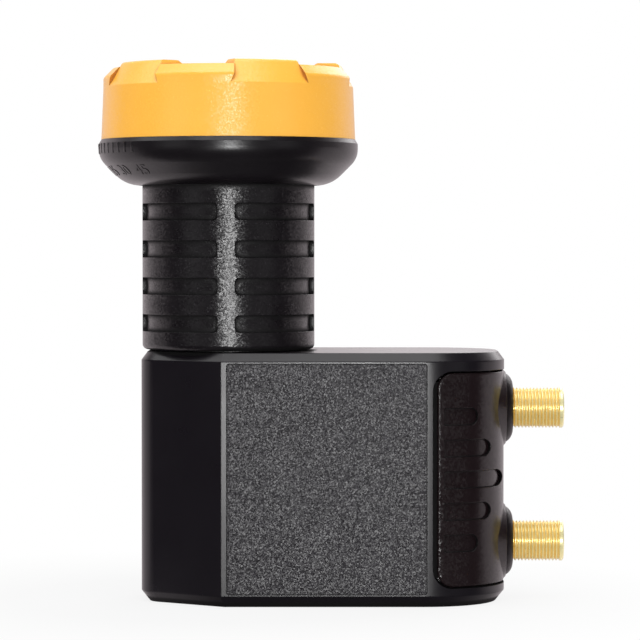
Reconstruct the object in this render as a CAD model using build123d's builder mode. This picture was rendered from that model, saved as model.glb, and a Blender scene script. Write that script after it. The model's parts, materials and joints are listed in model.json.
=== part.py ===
"""Twin-output satellite low-noise block with a 40 mm clamp neck and a sliding weather cover.

Sizes are in millimetres and +Z is up. The origin lies on the neck axis in the base plane of the housing.
The broad front face looks toward -Y and the two F connectors point toward +X.
"""

import os
from math import radians, tan

from build123d import *

# Housing outline, seen from above
BODY_RIGHT = 64.0
BODY_DEPTH = 44.0
FACET_EDGE = 1.2
FACET_ANGLE = 35.0
LEFT_ROUND = 7.0
END_FLAT = 6.0
RIGHT_ROUND = (BODY_DEPTH - END_FLAT) / 2

# Housing walls and chamfers
TOP_CHAMFER = 2.0
TOP_CHAMFER_RUN = 1.5
BASE_CHAMFER = 2.5
BASE_CHAMFER_RUN = 2.0
EDGE_ROUND = 0.4
SHELL_WALL = 2.0
SHELL_FLOOR = 2.2
PANEL_DEPTH = 0.2
PANEL_SIDE = 1.3
PANEL_END = 0.4
PANEL_ROUND = 0.6

# Weather cover and the nose that it slides on
COVER_LENGTH = 16.1
COVER_EDGE_GAP = 1.0
COVER_CLEAR = 0.35
COVER_SINK = 0.1
COVER_WALL = 1.7
COVER_CORNER = 3.6
COVER_EDGE_ROUND = 0.5
COVER_LIP = 4.2
HOLE_RIM = 0.15
HOLE_RIM_RISE = 0.45
HOLE_RIM_FLARE = 1.1
COVER_TRAVEL = 14.0
NOSE_WALL = 1.8
BULKHEAD = 1.9
TONGUE_WIDTH = 24.0
TONGUE_CLEAR = 0.3
TONGUE_ENGAGED = 4.0
STOP_LENGTH = 1.6
STOP_RISE = 1.1

# Finger grips on the weather cover
GRIP_COUNT = 5
GRIP_PITCH = 7.2
GRIP_HEIGHT = 4.0
GRIP_DEPTH = 0.7
GRIP_MARGIN = 1.6
GRIP_LENGTH = 13.8
GRIP_STEP = 3.0
GRIP_BULGE = 1.4

# F connectors
PORT_SPACING = 31.0
PORT_REACH = 13.9
PORT_EDGE = 0.65
THREAD_RADIUS = 4.7
SHANK_STEP = 0.2
SHANK_CLEAR = 0.15
SPIGOT_STEP = 0.9
PORT_WALL = 0.8
PORT_CHAMFER = 0.5
PORT_RECESS = 0.8
PIN_RADIUS = 0.45
PIN_TAIL = 3.0
CONTACT_RECESS = 2.0
ENTRY_RADIUS = 0.8
SEAL_BRIDGE = 0.65
SEAL_HEIGHT = 2.1
SEAL_DOME = 1.6
SEAL_CLEAR = 0.2

# Neck and collar bowl
NECK_RADIUS = 20.0
NECK_LENGTH = 38.0
NECK_WALL = 2.8
NECK_EDGE_ROUND = 1.2
NECK_GAP = 0.3
NECK_SEAT = 3.0
WINDOW_ROWS = 4
WINDOW_END = 6.2
WINDOW_HEIGHT = 3.95
WINDOW_DEPTH = 1.05
WINDOW_ROUND = 0.9
RIB_WIDTH = 4.0
BOWL_FLAT = 3.8
BOWL_BEVEL = 6.3
BOWL_BAND = 3.3
BOWL_LIP = 1.0
BOWL_ROUND = 5.0
BOWL_FOOT_ROUND = 8.0
BOWL_WALL = 2.2
BOWL_FLOOR = 2.8

# Cap seat on the collar
CAP_STEP = 0.6
CAP_CLEAR = 0.25
RIM_WALL = 2.2
RIM_HEIGHT = 6.6
SEAL_SECTION = 1.4
SEAL_GROOVE = 1.7
SEAL_LEVEL = 3.0

# Feed cap and its crown
CAP_WALL = 1.6
CAP_SIDE = 12.1
CAP_DRAFT = 0.5
CAP_ROUND = 0.6
CROWN_ROUND = 1.2
PAD_COUNT = 5
PAD_ANGLE = -68.5
PAD_FOOT = 18.6
PAD_FACE = 14.8
PAD_RUN = 3.0
PAD_RISE = 5.4
PAD_REACH = 4.5
PAD_SLOPE = 1.2
GAP_SIDE = 2.1
GAP_DROP = 1.1
GAP_RUN = 2.2
GAP_ROUND = 1.0

# Waveguide and horn
GUIDE_BORE = 8.75
GUIDE_WALL = 2.4
GUIDE_CLEAR = 0.1
GUIDE_END = 12.0
GUIDE_PLUG = 3.0
GUIDE_STUB = 5.4
SHOULDER_STEP = 2.0
SHOULDER_CLEAR = 0.3
SHOULDER_DROP = 2.6
ANCHOR_LENGTH = 9.0
ANCHOR_HEIGHT = 3.0
FOOT_RADIUS = 4.0
HORN_CLEAR = 0.3
HORN_HEIGHT = 17.4
HORN_FLOOR = 8.9
HORN_WALL = 1.2
HORN_GROOVES = 2
HORN_MOUTH = 14.0
HORN_STEP = 2.8

# Circuit tray, board and lid
TRAY_BACK = 7.5
TRAY_FLOOR = 2.7
TRAY_WALL = 2.2
TRAY_CLEAR = 0.35
TRAY_END_CLEAR = 1.55
BOARD_THICK = 0.8
SOLDER_GAP = 0.05
BOARD_CLEAR = 0.15
LID_THICK = 1.8
LID_OVERLAP = 0.9
LID_BOSS = 2.0
LID_SCREW = 0.8
LID_HEAD_RADIUS = 1.5
LID_HEAD_HEIGHT = 0.9
LID_SCREW_DEPTH = 4.0
LID_RIB = 1.2

# Components on the circuit board
AMPLIFIER_LENGTH = 2.0
AMPLIFIER_WIDTH = 1.3
AMPLIFIER_HEIGHT = 0.9
CHIP_SIDE = 5.0
CHIP_HEIGHT = 0.9
CRYSTAL_LENGTH = 3.2
CRYSTAL_WIDTH = 2.5
CRYSTAL_HEIGHT = 0.8
REGULATOR_LENGTH = 6.5
REGULATOR_WIDTH = 3.5
REGULATOR_HEIGHT = 1.8
CHOKE_LENGTH = 3.2
CHOKE_WIDTH = 2.5
CHOKE_HEIGHT = 2.2

# Probes
PROBE_REACH = 6.0
PROBE_SPREAD = 12.0
PROBE_BEND = 1.2
BUSH_RADIUS = 1.8
POST_RADIUS = 0.8
POST_DEPTH = 1.2

# Shell screws
BOSS_RADIUS = 3.0
BOSS_MERGE = 0.3
BOSS_CLEAR = 1.15
TONGUE_SPARE = 4.0
SCREW_RADIUS = 1.2
SCREW_CLEAR = 0.2
SCREW_BITE = 9.0
SCREW_SEAT = 4.0
HEAD_RADIUS = 2.0
HEAD_HEIGHT = 1.4
HEAD_CLEAR = 0.2

# Housing sizes and places that follow from the sizes above
HALF_DEPTH = BODY_DEPTH / 2
GUIDE_RADIUS = GUIDE_BORE + GUIDE_WALL
SHANK_RADIUS = THREAD_RADIUS + SHANK_STEP
SPIGOT_RADIUS = SHANK_RADIUS - SPIGOT_STEP
PORT_BORE = SPIGOT_RADIUS - PORT_WALL
BODY_LEFT = GUIDE_RADIUS + BOSS_CLEAR + 2 * BOSS_RADIUS - BOSS_MERGE + SHELL_WALL
COVER_EDGE = BODY_RIGHT - COVER_LENGTH
RECESS_EDGE = COVER_EDGE - COVER_EDGE_GAP
BULKHEAD_FACE = RECESS_EDGE - BULKHEAD
COVER_BOTTOM = COVER_LIP + COVER_CLEAR
NOSE_BOTTOM = COVER_BOTTOM + COVER_WALL + COVER_CLEAR
TRAY_BOTTOM = NOSE_BOTTOM + NOSE_WALL + TRAY_CLEAR
PORT_MARGIN = TRAY_BOTTOM + PORT_EDGE + SPIGOT_RADIUS
BODY_HEIGHT = PORT_SPACING + 2 * PORT_MARGIN
MID_HEIGHT = BODY_HEIGHT / 2
COVER_TOP = BODY_HEIGHT - COVER_BOTTOM
NOSE_TOP = BODY_HEIGHT - NOSE_BOTTOM
TRAY_TOP = BODY_HEIGHT - TRAY_BOTTOM
NOSE_INSET = COVER_SINK + COVER_WALL + COVER_CLEAR
NOSE_INNER = NOSE_INSET + NOSE_WALL
NOSE_END = BODY_RIGHT - NOSE_INSET
TONGUE_START = BULKHEAD_FACE - COVER_TRAVEL - TONGUE_ENGAGED
PORT_LEVELS = (PORT_MARGIN, BODY_HEIGHT - PORT_MARGIN)
PORT_TIP = BODY_RIGHT + PORT_REACH
SEAL_FACE = BODY_RIGHT + SEAL_HEIGHT
SEAL_RADIUS = PORT_MARGIN - COVER_BOTTOM - SEAL_BRIDGE - SEAL_CLEAR
SCREW_LEFT = -(GUIDE_RADIUS + BOSS_CLEAR + BOSS_RADIUS)
SCREW_RIGHT = TONGUE_START - TONGUE_SPARE - BOSS_RADIUS
SCREW_LEVEL = SHELL_FLOOR + BOSS_RADIUS - BOSS_MERGE
SCREW_POINTS = [
    (x, z) for x in (SCREW_LEFT, SCREW_RIGHT) for z in (SCREW_LEVEL, BODY_HEIGHT - SCREW_LEVEL)
]

# Neck, collar and cap sizes that follow
NECK_BOTTOM = BODY_HEIGHT + NECK_GAP
NECK_TOP = NECK_BOTTOM + NECK_LENGTH
WINDOW_PITCH = (NECK_LENGTH - 2 * WINDOW_END) / (WINDOW_ROWS - 1)
BOWL_RADIUS = NECK_RADIUS + BOWL_FLAT + BOWL_BEVEL
BOWL_TOP = NECK_TOP + BOWL_BEVEL + BOWL_BAND + BOWL_LIP
CUP_FLOOR = NECK_TOP + BOWL_FLOOR
CAP_RADIUS = BOWL_RADIUS - CAP_STEP
CAP_BORE = CAP_RADIUS - CAP_WALL
RIM_RADIUS = CAP_BORE - CAP_CLEAR
RIM_BORE = RIM_RADIUS - RIM_WALL
RIM_TOP = BOWL_TOP + RIM_HEIGHT
PAD_RADIUS = CAP_RADIUS - CAP_DRAFT
PAD_START = BOWL_TOP + CAP_SIDE
PAD_TOP = PAD_START + PAD_RISE
GAP_START = PAD_START + GAP_SIDE
GAP_TOP = PAD_TOP - GAP_DROP
PAD_INNER = PAD_RADIUS - PAD_RUN - PAD_REACH

# Waveguide, tray and board sizes that follow
GUIDE_TOP = CUP_FLOOR + GUIDE_STUB
SHOULDER_RADIUS = GUIDE_RADIUS + SHOULDER_STEP
HORN_RADIUS = RIM_BORE - HORN_CLEAR
HORN_TOP = CUP_FLOOR + HORN_HEIGHT
TRAY_START = GUIDE_RADIUS + TRAY_WALL
TRAY_END = BODY_RIGHT - NOSE_INNER - TRAY_END_CLEAR
TRAY_INNER_END = TRAY_END - TRAY_WALL
TRAY_FRONT = TRAY_FLOOR + BOARD_THICK + SOLDER_GAP + PIN_RADIUS
TRAY_DEPTH = TRAY_FRONT + TRAY_BACK
TRAY_HEIGHT = TRAY_TOP - TRAY_BOTTOM
BOARD_FACE = BOARD_THICK + TRAY_FLOOR - TRAY_FRONT
BOARD_LENGTH = TRAY_INNER_END - TRAY_START - 2 * BOARD_CLEAR
BOARD_HEIGHT = TRAY_HEIGHT - 2 * (TRAY_WALL + BOARD_CLEAR)
BOARD_CENTRE = (TRAY_START + TRAY_INNER_END) / 2
LID_INSET = TRAY_WALL + LID_BOSS / 2
LID_POINTS = (
    (TRAY_START + LID_BOSS / 2, TRAY_BOTTOM + LID_INSET),
    (TRAY_START + LID_BOSS / 2, TRAY_TOP - LID_INSET),
    (BOARD_CENTRE, TRAY_BOTTOM + LID_INSET),
    (BOARD_CENTRE, TRAY_TOP - LID_INSET),
    (TRAY_INNER_END - LID_BOSS / 2, MID_HEIGHT),
)
PROBE_LEVELS = (MID_HEIGHT - PROBE_SPREAD / 2, MID_HEIGHT + PROBE_SPREAD / 2)


def body_outline(inset: float) -> Sketch:
    """Plan outline of the housing, drawn inward by an inset."""
    corner = HALF_DEPTH - (BODY_LEFT - FACET_EDGE) * tan(radians(FACET_ANGLE))
    with BuildSketch() as outline:
        with BuildLine():
            Polyline(
                (-BODY_LEFT, -corner),
                (-FACET_EDGE, -HALF_DEPTH),
                (BODY_RIGHT, -HALF_DEPTH),
                (BODY_RIGHT, HALF_DEPTH),
                (-FACET_EDGE, HALF_DEPTH),
                (-BODY_LEFT, corner),
                close=True,
            )
        make_face()
        fillet(outline.vertices().group_by(Axis.X)[0], LEFT_ROUND)
        fillet(outline.vertices().group_by(Axis.X)[-1], RIGHT_ROUND)
        if inset:
            offset(amount=-inset)
    return outline.sketch


def body_prism(inset: float, bottom: float, top: float) -> Part:
    """Solid that stands on the housing outline between two levels."""
    with BuildPart() as prism:
        with BuildSketch(Plane.XY.offset(bottom)):
            add(body_outline(inset))
        extrude(amount=top - bottom)
    return prism.part


def near(corners: ShapeList, across: float, up: float) -> Vertex:
    """Corner of a profile that lies nearest to a point."""
    return corners.sort_by_distance(Vector(across, up))[0]


def port_plane(level: float, along: float) -> Plane:
    """Plane across a connector axis, looking along +X."""
    return Plane(origin=(along, 0, level), x_dir=(0, 1, 0), z_dir=(1, 0, 0))


def port_profile(level: float, points: list[tuple[float, float]]) -> Part:
    """Solid turned about a connector axis from points of (distance along X, radius)."""
    with BuildPart() as turned:
        with BuildSketch(Plane(origin=(0, 0, level), x_dir=(1, 0, 0), z_dir=(0, -1, 0))):
            with BuildLine():
                Polyline(*points, close=True)
            make_face()
        revolve(axis=Axis((0, 0, level), (1, 0, 0)))
    return turned.part


# Nose of the housing, over which the weather cover slides
nose_block = body_prism(NOSE_INSET, NOSE_BOTTOM, NOSE_TOP)
with BuildPart() as cover_recess:
    with BuildSketch(Plane.XZ):
        with Locations((RECESS_EDGE + BODY_RIGHT / 2, MID_HEIGHT)):
            RectangleRounded(BODY_RIGHT, BODY_HEIGHT - 2 * COVER_LIP, COVER_CORNER + COVER_EDGE_GAP)
    extrude(amount=BODY_DEPTH, both=True)
    add(nose_block, mode=Mode.SUBTRACT)

# Hollow of the housing to the left of the bulkhead
with BuildPart() as left_hollow:
    with BuildSketch(Plane.XY.offset(SHELL_FLOOR)):
        add(body_outline(SHELL_WALL))
        with Locations((BULKHEAD_FACE - BODY_RIGHT, 0)):
            Rectangle(2 * BODY_RIGHT, 2 * BODY_DEPTH, mode=Mode.INTERSECT)
    extrude(amount=BODY_HEIGHT - 2 * SHELL_FLOOR)

# Screw pillars, trimmed to the housing walls
with BuildPart() as pillars:
    with BuildSketch(Plane.XZ):
        with Locations(*SCREW_POINTS):
            Circle(BOSS_RADIUS)
    extrude(amount=BODY_DEPTH, both=True)
    add(body_prism(SHELL_WALL / 2, SHELL_FLOOR / 2, BODY_HEIGHT - SHELL_FLOOR / 2), mode=Mode.INTERSECT)

# Whole housing, before it is split into its two shells
with BuildPart() as housing:
    with BuildSketch():
        add(body_outline(0))
    extrude(amount=BODY_HEIGHT)
    top_face = housing.faces().sort_by(Axis.Z)[-1]
    chamfer(top_face.edges(), TOP_CHAMFER_RUN, TOP_CHAMFER, reference=top_face)
    base_face = housing.faces().sort_by(Axis.Z)[0]
    chamfer(base_face.edges(), BASE_CHAMFER_RUN, BASE_CHAMFER, reference=base_face)
    # Rounds along both chamfers and up the edges where the facets meet the broad faces
    levels = housing.edges().group_by(Axis.Z)
    rounded = levels[0] + levels[2] + levels[-3] + levels[-1]
    for uprights in (levels[1], levels[3], levels[-2]):
        rounded += uprights.sort_by(lambda edge: abs(edge.center().X + FACET_EDGE))[:2]
    fillet(rounded, EDGE_ROUND)
    add(cover_recess.part, mode=Mode.SUBTRACT)
    add(left_hollow.part, mode=Mode.SUBTRACT)
    add(body_prism(NOSE_INNER, NOSE_BOTTOM + NOSE_WALL, NOSE_TOP - NOSE_WALL), mode=Mode.SUBTRACT)
    add(pillars.part)
    # Flat pads and holes for the connectors in the end of the nose
    for level in PORT_LEVELS:
        with BuildSketch(port_plane(level, NOSE_END)):
            Circle(SEAL_RADIUS)
        extrude(amount=-NOSE_WALL)
        with BuildSketch(port_plane(level, NOSE_END)):
            Circle(SHANK_RADIUS + SHANK_CLEAR)
        extrude(amount=-2 * NOSE_WALL, mode=Mode.SUBTRACT)
    # Slots through the bulkhead for the tongues of the weather cover
    for bottom, top in ((COVER_LIP, NOSE_BOTTOM), (NOSE_TOP, BODY_HEIGHT - COVER_LIP)):
        with BuildSketch(Plane.XY.offset(bottom)):
            with Locations((RECESS_EDGE, 0)):
                Rectangle(4 * COVER_CORNER, TONGUE_WIDTH + 2 * TONGUE_CLEAR)
        extrude(amount=top - bottom, mode=Mode.SUBTRACT)
    # Hole in the top for the shoulder of the waveguide
    with BuildSketch(Plane.XY.offset(BODY_HEIGHT)):
        Circle(SHOULDER_RADIUS + SHOULDER_CLEAR)
    extrude(amount=-2 * SHELL_FLOOR, mode=Mode.SUBTRACT)
    # Shallow textured panels on the two broad faces
    for side in (-HALF_DEPTH, HALF_DEPTH - PANEL_DEPTH):
        with BuildSketch(Plane.XZ.offset(-side)):
            with Locations(((RECESS_EDGE - FACET_EDGE) / 2, (BODY_HEIGHT + BASE_CHAMFER - TOP_CHAMFER) / 2)):
                RectangleRounded(
                    RECESS_EDGE + FACET_EDGE - 2 * PANEL_SIDE,
                    BODY_HEIGHT - BASE_CHAMFER - TOP_CHAMFER - 2 * PANEL_END,
                    PANEL_ROUND,
                )
        extrude(amount=-PANEL_DEPTH, mode=Mode.SUBTRACT)

with BuildPart() as front_shell:
    add(housing.part)
    split(bisect_by=Plane.XZ, keep=Keep.TOP)
    with BuildSketch(Plane.XZ):
        with Locations(*SCREW_POINTS):
            Circle(SCREW_RADIUS)
    extrude(amount=SCREW_BITE, mode=Mode.SUBTRACT)

with BuildPart() as rear_shell:
    add(housing.part)
    split(bisect_by=Plane.XZ, keep=Keep.BOTTOM)
    with BuildSketch(Plane.XZ):
        with Locations(*SCREW_POINTS):
            Circle(SCREW_RADIUS + SCREW_CLEAR)
    extrude(amount=-SCREW_SEAT, mode=Mode.SUBTRACT)
    with BuildSketch(Plane.XZ.offset(-SCREW_SEAT)):
        with Locations(*SCREW_POINTS):
            Circle(HEAD_RADIUS + HEAD_CLEAR)
    extrude(amount=-BODY_DEPTH, mode=Mode.SUBTRACT)

with BuildPart() as shell_screws:
    with BuildSketch(Plane.XZ.offset(SCREW_BITE)):
        with Locations(*SCREW_POINTS):
            Circle(SCREW_RADIUS)
    extrude(amount=-SCREW_BITE - SCREW_SEAT)
    with BuildSketch(Plane.XZ.offset(-SCREW_SEAT)):
        with Locations(*SCREW_POINTS):
            Circle(HEAD_RADIUS)
    extrude(amount=-HEAD_HEIGHT)
    with BuildSketch(Plane.XZ.offset(-SCREW_SEAT - HEAD_HEIGHT)):
        with Locations(*SCREW_POINTS):
            RegularPolygon(HEAD_RADIUS / 2, 6)
    extrude(amount=HEAD_HEIGHT / 2, mode=Mode.SUBTRACT)

# Finger grips: rounded slots that follow the skin of the weather cover
with BuildPart() as grips:
    for row in range(GRIP_COUNT):
        from_middle = row - (GRIP_COUNT - 1) / 2
        level = MID_HEIGHT + from_middle * GRIP_PITCH
        start = COVER_EDGE + GRIP_MARGIN
        end = start + GRIP_LENGTH - GRIP_BULGE - abs(from_middle) * GRIP_STEP
        with BuildSketch(Plane.XZ) as grip:
            with BuildLine():
                lower = Line((start, level - GRIP_HEIGHT / 2), (end, level - GRIP_HEIGHT / 2))
                tip = ThreePointArc(lower @ 1, (end + GRIP_BULGE, level), (end, level + GRIP_HEIGHT / 2))
                Polyline(tip @ 1, (start, level + GRIP_HEIGHT / 2), lower @ 0)
            make_face()
        extrude(amount=BODY_DEPTH, both=True)
    add(body_prism(COVER_SINK + GRIP_DEPTH, 0, BODY_HEIGHT), mode=Mode.SUBTRACT)

# Tongues that run into the housing and stop the weather cover at the end of its travel
with BuildPart() as tongues:
    for bottom, stop in ((COVER_BOTTOM, COVER_BOTTOM - STOP_RISE), (COVER_TOP - COVER_WALL, COVER_TOP)):
        with BuildSketch(Plane.XY.offset(bottom)):
            with Locations(((TONGUE_START + BODY_RIGHT - RIGHT_ROUND / 2) / 2, 0)):
                Rectangle(BODY_RIGHT - RIGHT_ROUND / 2 - TONGUE_START, TONGUE_WIDTH)
        extrude(amount=COVER_WALL)
        with BuildSketch(Plane.XY.offset(stop)):
            with Locations((TONGUE_START + STOP_LENGTH / 2, 0)):
                Rectangle(STOP_LENGTH, TONGUE_WIDTH)
        extrude(amount=STOP_RISE)

# Flared rims round the holes in the end of the weather cover
with BuildPart() as hole_rims:
    rim_root = BODY_RIGHT - RIGHT_ROUND / 4
    rim_face = BODY_RIGHT + HOLE_RIM_RISE
    rim_radius = SEAL_RADIUS + SEAL_CLEAR + HOLE_RIM
    for level in PORT_LEVELS:
        add(
            port_profile(
                level,
                [
                    (rim_root, 0),
                    (rim_root, rim_radius + HOLE_RIM_FLARE * (rim_face - rim_root)),
                    (rim_face, rim_radius),
                    (rim_face, 0),
                ],
            )
        )
    with BuildSketch(Plane.XY.offset(COVER_BOTTOM)):
        with Locations((BODY_RIGHT, 0)):
            Rectangle(BODY_RIGHT, BODY_DEPTH)
    extrude(amount=COVER_TOP - COVER_BOTTOM, mode=Mode.INTERSECT)

with BuildPart() as weather_cover:
    with BuildSketch(Plane.XZ):
        with Locations((COVER_EDGE + BODY_RIGHT / 2, MID_HEIGHT)):
            RectangleRounded(BODY_RIGHT, COVER_TOP - COVER_BOTTOM, COVER_CORNER)
    extrude(amount=BODY_DEPTH, both=True)
    add(body_prism(COVER_SINK, COVER_BOTTOM, COVER_TOP), mode=Mode.INTERSECT)
    outline_edges = weather_cover.edges().filter_by(Axis.Y, reverse=True)
    seams = outline_edges.filter_by(Axis.Z).filter_by_position(Axis.X, COVER_EDGE + COVER_CORNER, BODY_RIGHT)
    fillet(outline_edges.filter_by(lambda edge: edge not in seams), COVER_EDGE_ROUND)
    add(hole_rims.part)
    add(
        body_prism(COVER_SINK + COVER_WALL, COVER_BOTTOM + COVER_WALL, COVER_TOP - COVER_WALL),
        mode=Mode.SUBTRACT,
    )
    add(grips.part, mode=Mode.SUBTRACT)
    add(tongues.part)
    for level in PORT_LEVELS:
        with BuildSketch(port_plane(level, rim_face)):
            Circle(SEAL_RADIUS + SEAL_CLEAR)
        extrude(amount=TONGUE_START - rim_face, mode=Mode.SUBTRACT)

# Neck windows: a ring of recesses between four upright ribs
with BuildPart() as window_ring:
    with BuildSketch(Plane.XY.offset(-WINDOW_HEIGHT / 2)):
        Circle(NECK_RADIUS + WINDOW_DEPTH)
        Circle(NECK_RADIUS - WINDOW_DEPTH, mode=Mode.SUBTRACT)
        Rectangle(3 * NECK_RADIUS, RIB_WIDTH, mode=Mode.SUBTRACT)
        Rectangle(RIB_WIDTH, 3 * NECK_RADIUS, mode=Mode.SUBTRACT)
    extrude(amount=WINDOW_HEIGHT)
    window_corners = window_ring.edges().filter_by(GeomType.LINE).filter_by(Axis.Z, reverse=True)
    fillet(window_corners, WINDOW_ROUND)

with BuildPart() as neck_collar:
    guide_hole = GUIDE_RADIUS + GUIDE_CLEAR
    bevel_top = NECK_TOP + BOWL_BEVEL
    inner_bevel = BOWL_RADIUS - bevel_top - BOWL_WALL * 2**0.5
    groove_low = BOWL_TOP + SEAL_LEVEL - SEAL_GROOVE / 2
    groove_high = groove_low + SEAL_GROOVE
    groove_floor = CAP_BORE - SEAL_SECTION
    with BuildSketch(Plane.XZ) as profile:
        with BuildLine():
            Polyline(
                (guide_hole, NECK_BOTTOM),
                (NECK_RADIUS, NECK_BOTTOM),
                (NECK_RADIUS, NECK_TOP),
                (BOWL_RADIUS - BOWL_BEVEL, NECK_TOP),
                (BOWL_RADIUS, bevel_top),
                (BOWL_RADIUS, BOWL_TOP - BOWL_LIP),
                (CAP_RADIUS, BOWL_TOP),
                (RIM_RADIUS, BOWL_TOP),
                (RIM_RADIUS, groove_low),
                (groove_floor, groove_low),
                (groove_floor, groove_high),
                (RIM_RADIUS, groove_high),
                (RIM_RADIUS, RIM_TOP),
                (RIM_BORE, RIM_TOP),
                (RIM_BORE, RIM_BORE - inner_bevel),
                (CUP_FLOOR + inner_bevel, CUP_FLOOR),
                (guide_hole, CUP_FLOOR),
                (guide_hole, NECK_TOP),
                (NECK_RADIUS - NECK_WALL, NECK_TOP),
                (NECK_RADIUS - NECK_WALL, NECK_BOTTOM + NECK_SEAT),
                (guide_hole, NECK_BOTTOM + NECK_SEAT),
                close=True,
            )
        make_face()
        fillet(near(profile.vertices(), NECK_RADIUS, NECK_BOTTOM), NECK_EDGE_ROUND)
        fillet(near(profile.vertices(), BOWL_RADIUS - BOWL_BEVEL, NECK_TOP), BOWL_FOOT_ROUND)
        fillet(near(profile.vertices(), BOWL_RADIUS, bevel_top), BOWL_ROUND)
    revolve(axis=Axis.Z)
    with Locations(*[(0, 0, NECK_BOTTOM + WINDOW_END + row * WINDOW_PITCH) for row in range(WINDOW_ROWS)]):
        add(window_ring.part, mode=Mode.SUBTRACT)

with BuildPart() as cap_seal:
    with BuildSketch(Plane.XZ):
        with Locations((CAP_BORE - SEAL_SECTION / 2, BOWL_TOP + SEAL_LEVEL)):
            Circle(SEAL_SECTION / 2)
    revolve(axis=Axis.Z)

# Crown of the cap: the seat that each pad takes in the wall, and the pad itself, narrower at its face
with BuildPart() as pad_seat:
    with BuildSketch(Plane.YZ):
        with BuildLine():
            Polyline(
                (-PAD_FOOT / 2, PAD_START),
                (PAD_FOOT / 2, PAD_START),
                (PAD_FACE / 2, PAD_TOP),
                (-PAD_FACE / 2, PAD_TOP),
                close=True,
            )
        make_face()
    extrude(amount=2 * PAD_RADIUS)

with BuildPart() as crown_pad:
    with BuildSketch(Plane.XZ) as profile:
        with BuildLine():
            Polyline(
                (0, PAD_START - CAP_WALL),
                (PAD_RADIUS, PAD_START - CAP_WALL),
                (PAD_RADIUS, PAD_START),
                (PAD_RADIUS - PAD_RUN, PAD_TOP),
                (PAD_INNER, PAD_TOP),
                (PAD_INNER - PAD_SLOPE, GAP_TOP),
                (0, GAP_TOP),
                close=True,
            )
        make_face()
        fillet(near(profile.vertices(), PAD_RADIUS - PAD_RUN, PAD_TOP), CROWN_ROUND)
        fillet(near(profile.vertices(), PAD_INNER, PAD_TOP), CAP_ROUND)
    revolve(axis=Axis.Z)
    add(pad_seat.part, mode=Mode.INTERSECT)

with BuildPart() as feed_cap:
    with BuildSketch(Plane.XZ) as profile:
        with BuildLine():
            Polyline(
                (0, BOWL_TOP),
                (CAP_RADIUS, BOWL_TOP),
                (PAD_RADIUS, PAD_START),
                (PAD_RADIUS, GAP_START),
                (PAD_RADIUS - GAP_RUN, GAP_TOP),
                (0, GAP_TOP),
                close=True,
            )
        make_face()
        fillet(near(profile.vertices(), PAD_RADIUS, GAP_START), GAP_ROUND)
    revolve(axis=Axis.Z)
    with PolarLocations(0, PAD_COUNT, start_angle=PAD_ANGLE):
        add(pad_seat.part, mode=Mode.SUBTRACT)
    with PolarLocations(0, PAD_COUNT, start_angle=PAD_ANGLE):
        add(crown_pad.part)
    with BuildSketch(Plane.XZ):
        with BuildLine():
            Polyline(
                (0, BOWL_TOP),
                (CAP_BORE, BOWL_TOP),
                (CAP_BORE, RIM_TOP),
                (CAP_BORE - CAP_DRAFT, PAD_START - CAP_WALL / 2),
                (PAD_RADIUS - PAD_RUN - CAP_WALL / 2, GAP_TOP - CAP_WALL),
                (0, GAP_TOP - CAP_WALL),
                close=True,
            )
        make_face()
    revolve(axis=Axis.Z, mode=Mode.SUBTRACT)

with BuildPart() as feed_horn:
    socket = GUIDE_RADIUS
    floor = CUP_FLOOR + HORN_FLOOR
    bevel = BOWL_WALL * 2**0.5 + HORN_CLEAR
    bevel_line = BOWL_RADIUS - (NECK_TOP + BOWL_BEVEL) - bevel
    groove_width = (HORN_RADIUS - HORN_MOUTH - (HORN_GROOVES + 1) * HORN_WALL) / HORN_GROOVES
    with BuildSketch(Plane.XZ):
        with BuildLine():
            Polyline(
                (socket, CUP_FLOOR),
                (CUP_FLOOR + bevel_line, CUP_FLOOR),
                (HORN_RADIUS, HORN_RADIUS - bevel_line),
                (HORN_RADIUS, HORN_TOP),
                (HORN_MOUTH, HORN_TOP),
                (HORN_MOUTH, floor + HORN_STEP),
                ((HORN_MOUTH + GUIDE_BORE) / 2, floor + HORN_STEP),
                ((HORN_MOUTH + GUIDE_BORE) / 2, floor),
                (GUIDE_BORE, floor),
                (GUIDE_BORE, GUIDE_TOP),
                (socket, GUIDE_TOP),
                close=True,
            )
        make_face()
        # Corrugations round the mouth
        for groove in range(HORN_GROOVES):
            inner = HORN_MOUTH + HORN_WALL + groove * (groove_width + HORN_WALL)
            with Locations((inner + groove_width / 2, (floor + HORN_TOP) / 2)):
                Rectangle(groove_width, HORN_TOP - floor, mode=Mode.SUBTRACT)
    revolve(axis=Axis.Z)

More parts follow.
